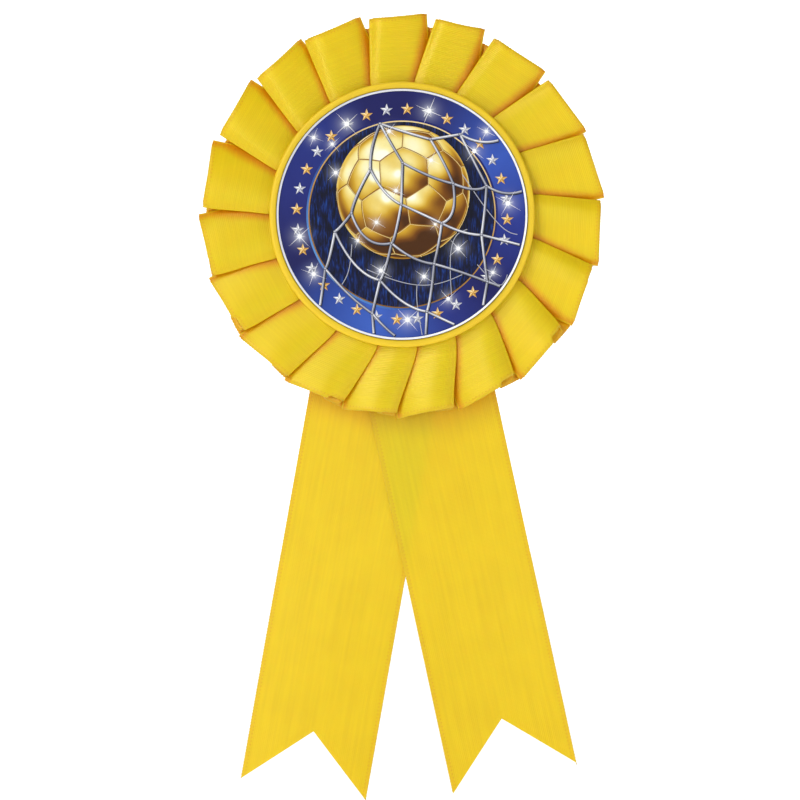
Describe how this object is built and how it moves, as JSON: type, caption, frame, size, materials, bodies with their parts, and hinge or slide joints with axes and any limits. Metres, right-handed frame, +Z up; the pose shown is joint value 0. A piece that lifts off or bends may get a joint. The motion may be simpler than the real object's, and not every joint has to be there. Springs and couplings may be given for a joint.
{
  "type": "award ribbon",
  "caption": "Pleated satin rosette with a printed centre disc, swallow-tailed ribbon tails behind it and a brooch pin with a turning safety catch on the back.",
  "frame": {"origin": "centre of the printed label's outer face", "axes": "+Z up as worn, +Y out of the back towards the wearer, so the printed front faces -Y"},
  "size_m": [0.0813, 0.0182, 0.1574],
  "materials": {
    "yellow_satin": "woven double-faced satin ribbon, golden yellow, soft gloss",
    "yellow_plastic": "moulded yellow polypropylene, slight gloss",
    "yellow_thread": "polyester sewing thread",
    "printed_film": "printed polyester film, blue with gold and silver, glossy, white edge",
    "grey_card": "grey pulp board",
    "white_card": "smooth white card",
    "clear_glue": "set hot-melt glue and double-sided film",
    "white_foam": "double-sided foam pad",
    "plated_steel": "nickel-plated pressed steel and wire",
    "rivet_steel": "bright steel rivet",
    "staple_wire": "galvanised staple wire"
  },
  "bodies": {
    "rosette": {"printed_label": "printed_film", "label_adhesive": "clear_glue", "centre_holder": "yellow_plastic", "holder_glue_ring": "clear_glue", "pleated_ribbon": "yellow_satin", "gathering_thread": "yellow_thread", "backing_card": "grey_card", "rear_cover": "white_card", "cover_glue_bead": "clear_glue", "left_tail_top": "yellow_satin", "right_tail_top": "yellow_satin", "left_staple": "staple_wire", "right_staple": "staple_wire", "pin_adhesive_pad": "white_foam", "pin_bar": "plated_steel", "hinge_bracket": "plated_steel", "hinge_rivet": "rivet_steel", "catch_housing": "plated_steel"},
    "left_tail_ribbon": {"left_tail": "yellow_satin"},
    "right_tail_ribbon": {"right_tail": "yellow_satin"},
    "needle": {"pin_needle": "plated_steel"},
    "catch": {"catch_sleeve": "plated_steel"}
  },
  "joints": [
    {"name": "left_tail_swing", "type": "hinge", "parent": "rosette", "child": "left_tail_ribbon", "pos_m": [-0.00666, 0.0092, -0.04151], "axis": [0.9848, 0, -0.1736], "range_deg": [0, 80]},
    {"name": "right_tail_swing", "type": "hinge", "parent": "rosette", "child": "right_tail_ribbon", "pos_m": [0.00705, 0.0086, -0.04148], "axis": [-0.977, 0, -0.213], "range_deg": [0, 80]},
    {"name": "needle_hinge", "type": "hinge", "parent": "rosette", "child": "needle", "pos_m": [0.0128, 0.0162, 0.01], "axis": [0, 0, -1], "range_deg": [0, 95]},
    {"name": "catch_turn", "type": "hinge", "parent": "rosette", "child": "catch", "pos_m": [-0.012, 0.0162, 0.01], "axis": [1, 0, 0], "range_deg": [0, 90]}
  ]
}
